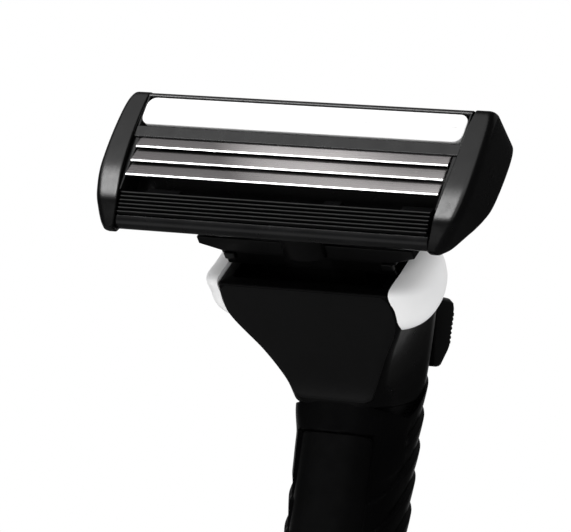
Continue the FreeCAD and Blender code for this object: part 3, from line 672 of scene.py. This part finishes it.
def make_release_button():
    """The slide button: a bevelled pad with fine ribs across its outer face."""
    profile = [(24.8, -8.3), (27.9, -8.15), (28.5, -8.35), (28.78, -8.9)]
    for i in range(BUTTON_RIBS):
        top = -9.3 - i * BUTTON_RIB_PITCH
        profile += [(28.74, top), (28.95, top - 0.1), (28.95, top - 0.26), (28.74, top - 0.38)]
    profile += [(28.8, -13.0), (28.55, -13.5), (27.4, -15.2), (26.2, -15.3), (25.6, -12.8)]
    profile = np.array(profile)
    heart = np.array([26.9, -11.6])
    bevel = ((0.0, 0.86), (0.08, 0.93), (0.3, 0.975), (0.6, 1.0))
    ends = [(inward - BUTTON_HALF, drawn) for inward, drawn in bevel]
    ends += [(BUTTON_HALF - inward, drawn) for inward, drawn in reversed(bevel)]
    rings = [[(x, *point) for point in heart + (profile - heart) * drawn] for x, drawn in ends]
    mesh = mesh_from("button_shell", *skin(rings), GRIP)
    add_piece("button_shell", mesh, "button", "button_plastic", "release_button")


# The grip, in the grip frame. Angles go round it from its rear.

GRIP_HALF = 5.75
GRIP_SWELL = 0.5
SWELL_TOP = -22.5
GRIP_AXIS = 21.1
TAIL_AXIS = 15.0
BEND_START = -60.0
GRIP_END = -130.0
SQUARENESS = 2.5
EXTRA_SQUARENESS = 0.95
SLEEVE_POINTS = 200
SLEEVE_ROWS = 760
RIM_FRONT = -20.55
RIM_CLIMB = 5.0
RIB_PITCH = 3.2
RIB_RISE = 5.5
RIB_START = -0.5
RIB_DEPTH = 0.42
RIB_SHOULDER = 0.18
RIB_SINK = 0.9
PANEL_TOP = -23.6
PANEL_FOOT = -106.0
PANEL_HALF = 4.18
PANEL_GAP = 0.08
PANEL_CORNER = 0.9
PANEL_DEPTH = 0.5
WINDOW_DEPTH = 0.55
TAIL_POINTS = 96


def grip_centre(z):
    share = np.clip((BEND_START - z) / (BEND_START - GRIP_END), 0, None)
    return GRIP_AXIS - (GRIP_AXIS - TAIL_AXIS) * share ** 2


def grip_radius(angle, z):
    """Plain radius of the grip: a rounded square that swells at its middle, squarer at its top front."""
    span = np.clip((z - SWELL_TOP) / (GRIP_END - SWELL_TOP), 0, 1)
    half = GRIP_HALF + GRIP_SWELL * np.sin(math.pi * span) ** 2
    fore = smooth_step(math.radians(75), math.radians(105), np.abs(angle))
    power = SQUARENESS + EXTRA_SQUARENESS * fore * smooth_step(-24.0, -20.8, z)
    shape = np.abs(np.sin(angle)) ** power + np.abs(np.cos(angle)) ** power
    return half * shape ** (-1 / power)


def rib_height(angle, z):
    """Overlapping diagonal scales round the rear and sides, stepped at their upper edge."""
    phase = ((-z + RIB_RISE * np.cos(angle) + RIB_START) / RIB_PITCH) % 1.0
    shoulder = smooth_step(0.0, RIB_SHOULDER, phase)
    taper = 1 - 0.85 * phase ** 1.6
    wrap = math.radians(40) * smooth_step(-25.5, -28.8, z)
    around = 1 - smooth_step(math.radians(90) + wrap, math.radians(100) + wrap, np.abs(angle))
    above_tail = smooth_step(-116, -110, z)
    return RIB_DEPTH * (shoulder * taper - RIB_SINK) * around * above_tail


def panel_window(x, z):
    """One inside the window for the front panel, easing to nought at its rim."""
    half = PANEL_HALF + PANEL_GAP
    across = 1 - smooth_step(half - 0.06, half + 0.06, np.abs(x))
    top = 1 - smooth_step(PANEL_TOP - 0.05, PANEL_TOP + 0.2, z)
    foot = smooth_step(PANEL_FOOT - 0.2, PANEL_FOOT + 0.05, z)
    return across * top * foot


def grip_ring(angles, z, radius):
    return np.stack([radius * np.sin(angles), grip_centre(z) + radius * np.cos(angles), z], 1)


def make_rubber_grip():
    """Rubber sleeve: its upper rim climbs from the front to just under the release button."""
    angles = np.linspace(-math.pi, math.pi, SLEEVE_POINTS, endpoint=False)
    climb = 1 - smooth_step(math.radians(40), math.radians(105), np.abs(angles))
    rim = RIM_FRONT - 0.6 * np.sin(np.abs(angles)) ** 2 + RIM_CLIMB * climb
    front = np.abs(angles) > math.pi / 2
    rings = [grip_ring(angles, rim + 0.02, grip_radius(angles, rim) - 0.6)]
    for share in np.linspace(0, 1, SLEEVE_ROWS):
        z = rim + (GRIP_END - rim) * share
        base = grip_radius(angles, z)
        sunk = WINDOW_DEPTH * panel_window(base * np.sin(angles), z) * front
        collar = 0.08 * smooth_step(-28, -24, z)
        rings.append(grip_ring(angles, z, base + collar + rib_height(angles, z) - sunk))
    end = np.full(SLEEVE_POINTS, GRIP_END)
    rings.append(grip_ring(angles, end, grip_radius(angles, end) - 1.2))
    mesh = mesh_from("rubber_sleeve", *skin(rings), GRIP)
    add_piece("rubber_sleeve", mesh, "handle", "grip_rubber", "rubber_grip")


def make_grip_panel():
    """Smooth insert down the front of the grip, almost flush, with rounded corners."""
    count = 31
    length = PANEL_TOP - PANEL_FOOT + 0.02
    near_end = PANEL_CORNER * (1 - np.cos(np.linspace(0, math.pi / 2, 9)))
    between = np.linspace(PANEL_CORNER, length - PANEL_CORNER, 120)[1:-1]
    rings = []
    for down in np.concatenate([near_end, between, length - near_end[::-1]]):
        z = PANEL_TOP - down
        short = PANEL_CORNER - min(PANEL_CORNER, down, length - down)
        wide = PANEL_HALF - PANEL_CORNER + math.sqrt(max(PANEL_CORNER ** 2 - short ** 2, 0.01))
        xs = np.linspace(-wide, wide, count)
        angle = math.pi - np.arcsin(np.clip(xs / grip_radius(math.pi, z), -1, 1))
        radius = grip_radius(angle, z) - 0.1
        softened = 0.09 * (np.abs(xs) > wide - 0.05) + 0.06 * (min(down, length - down) < 0.05)
        heights = np.full(count, z)
        top = np.stack([xs, grip_centre(z) + (radius - softened) * np.cos(angle), heights], 1)
        low = np.stack([xs, grip_centre(z) + (radius - PANEL_DEPTH) * np.cos(angle), heights], 1)
        rings.append(np.concatenate([top, low[::-1]]))
    mesh = mesh_from("grip_plate", *skin(rings), GRIP)
    add_piece("grip_plate", mesh, "handle", "panel_rubber", "grip_panel")


def make_tail_cap():
    """A plain cap with a rounded foot."""
    profile = (
        # height, inset from the grip's outline
        (-129.95, 0.9), (-129.95, 0.12), (-130.1, 0.02), (-130.6, 0.0), (-131.6, 0.1), (-132.6, 0.4),
        (-133.4, 0.9), (-133.85, 1.5), (-134.0, 2.1), (-134.0, 3.4),
    )
    angles = np.linspace(-math.pi, math.pi, TAIL_POINTS, endpoint=False)
    outline = grip_radius(angles, np.full(TAIL_POINTS, GRIP_END))
    rings = []
    for z, inset in profile:
        radius = outline - inset
        across, back = radius * np.sin(angles), TAIL_AXIS + radius * np.cos(angles)
        rings.append(np.stack([across, back, np.full(TAIL_POINTS, z)], 1))
    mesh = mesh_from("tail_shell", *skin(rings), GRIP)
    add_piece("tail_shell", mesh, "handle", "tail_plastic", "tail_cap")


def dress_cad_nodes():
    """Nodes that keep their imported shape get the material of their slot."""
    for entry in frame["record"]["subparts"]:
        node = bpy.data.objects.get(entry["node"])
        if node is None:
            continue
        node.data.materials.clear()
        node.data.materials.append(MATERIALS[entry["material_slot"]])


# Floor, light and camera, in metres.

FLOOR_HALF_SIZE = 2.0
WORLD_ON_MATT = 0.95
WORLD_IN_REFLECTIONS = 0.04
LIT_POINT = Vector((0.0, -0.012, 0.125))
LAMPS = (
    # name, direction from the lit point, distance, width, height, watts
    ("sheen", (-0.51, -0.50, 0.70), 0.90, 0.90, 0.75, 1.6),
    ("gleam", (-0.51, -0.71, 0.48), 1.0, 0.30, 0.12, 2.0),
    ("table", (-0.45, -0.68, -0.50), 0.2, 0.22, 0.14, 0.03),
    ("front", (0.0, -0.83, 0.56), 0.95, 0.50, 0.50, 0.8),
    ("right", (0.45, 0.55, 0.70), 0.95, 0.70, 0.70, 0.3),
    ("behind", (-0.55, 0.75, 0.35), 0.95, 1.2, 1.2, 1.5),
)

CAMERA_AIM = Vector((0.725, -13.505, 125.008)) * MM
CAMERA_DISTANCE = 439.486 * MM
CAMERA_AZIMUTH = math.radians(30.781)
CAMERA_ELEVATION = math.radians(-5.198)
CAMERA_ROLL = math.radians(7.4915)
CAMERA_LENS = 289.35


def ray_kind(nodes, kind):
    return nodes.new("ShaderNodeLightPath").outputs[kind]


def make_floor():
    """A pale floor to look at that hardly lights the underside of the part."""
    half = FLOOR_HALF_SIZE
    corners = [(-half, -half, 0), (half, -half, 0), (half, half, 0), (-half, half, 0)]
    mesh = bpy.data.meshes.new("floor")
    mesh.from_pydata(corners, [], [(0, 1, 2, 3)])
    floor = bpy.data.objects.new("floor", mesh)
    bpy.context.scene.collection.objects.link(floor)
    material, nodes, links, shader = new_material("floor")
    in_reflections = ray_kind(nodes, "Is Glossy Ray")
    colour = tint(nodes, links, in_reflections, (0.7, 0.7, 0.7), (0.05, 0.05, 0.05))
    links.new(colour, shader.inputs["Base Color"])
    links.new(ray_kind(nodes, "Is Camera Ray"), shader.inputs["Emission Strength"])
    shader.inputs["Emission Color"].default_value = (0.55, 0.55, 0.55, 1)
    shader.inputs["Roughness"].default_value = 0.8
    mesh.materials.append(material)


def make_world():
    """White all round to look at, soft light on matt surfaces and a dark room in reflections."""
    world = bpy.data.worlds.new("studio")
    bpy.context.scene.world = world
    world.use_nodes = True
    nodes, links = world.node_tree.nodes, world.node_tree.links
    background = nodes["Background"]
    background.inputs["Color"].default_value = (1, 1, 1, 1)
    level = nodes.new("ShaderNodeMapRange")
    level.inputs["To Min"].default_value = WORLD_ON_MATT
    level.inputs["To Max"].default_value = WORLD_IN_REFLECTIONS
    links.new(ray_kind(nodes, "Is Glossy Ray"), level.inputs["Value"])
    brightest = nodes.new("ShaderNodeMath")
    brightest.operation = "MAXIMUM"
    links.new(level.outputs["Result"], brightest.inputs[0])
    links.new(ray_kind(nodes, "Is Camera Ray"), brightest.inputs[1])
    links.new(brightest.outputs["Value"], background.inputs["Strength"])


def make_lamps():
    """Rectangular lamps that all face the cartridge and don't show."""
    for name, toward, distance, width, height, watts in LAMPS:
        light = bpy.data.lights.new(name, "AREA")
        light.shape = "RECTANGLE"
        light.size = width
        light.size_y = height
        light.energy = watts
        lamp = bpy.data.objects.new(name, light)
        lamp.visible_camera = False
        lamp.location = LIT_POINT + Vector(toward).normalized() * distance
        lamp.rotation_mode = "QUATERNION"
        lamp.rotation_quaternion = (LIT_POINT - lamp.location).to_track_quat("-Z", "Y")
        bpy.context.scene.collection.objects.link(lamp)


def make_camera():
    camera = bpy.data.objects.new("camera", bpy.data.cameras.new("camera"))
    bpy.context.scene.collection.objects.link(camera)
    level_reach = math.cos(CAMERA_ELEVATION)
    back = Vector((
        math.sin(CAMERA_AZIMUTH) * level_reach,
        -math.cos(CAMERA_AZIMUTH) * level_reach,
        math.sin(CAMERA_ELEVATION),
    ))
    camera.location = CAMERA_AIM + back * CAMERA_DISTANCE
    camera.rotation_mode = "QUATERNION"
    level = (-back).to_track_quat("-Z", "Y").to_matrix()
    camera.rotation_quaternion = (level @ Matrix.Rotation(CAMERA_ROLL, 3, "Z")).to_quaternion()
    camera.data.sensor_width = 36
    camera.data.lens = CAMERA_LENS
    camera.data.clip_start = 0.01
    camera.data.clip_end = 10
    bpy.context.scene.camera = camera


make_camera()
make_floor()
make_world()
make_lamps()
dress_cad_nodes()
make_cartridge_frame()
make_cap_carrier()
make_lubricating_strip()
make_guard_strip()
for blade_place, blade_edge in BLADE_EDGES.items():
    make_blade(blade_place, blade_edge)
for side_name, side_sign in SIDES.items():
    make_end_cap(f"end_cap_shell_{side_name}", side_sign, f"end_cap_{side_name}")
make_connector()
make_plunger()
make_head()
make_chin_panel()
for side_name, side_sign in SIDES.items():
    make_side_inlay(f"side_pad_{side_name}", side_sign, f"side_inlay_{side_name}")
make_release_button()
make_rubber_grip()
make_grip_panel()
make_tail_cap()
bpy.context.scene.view_settings.view_transform = "Standard"
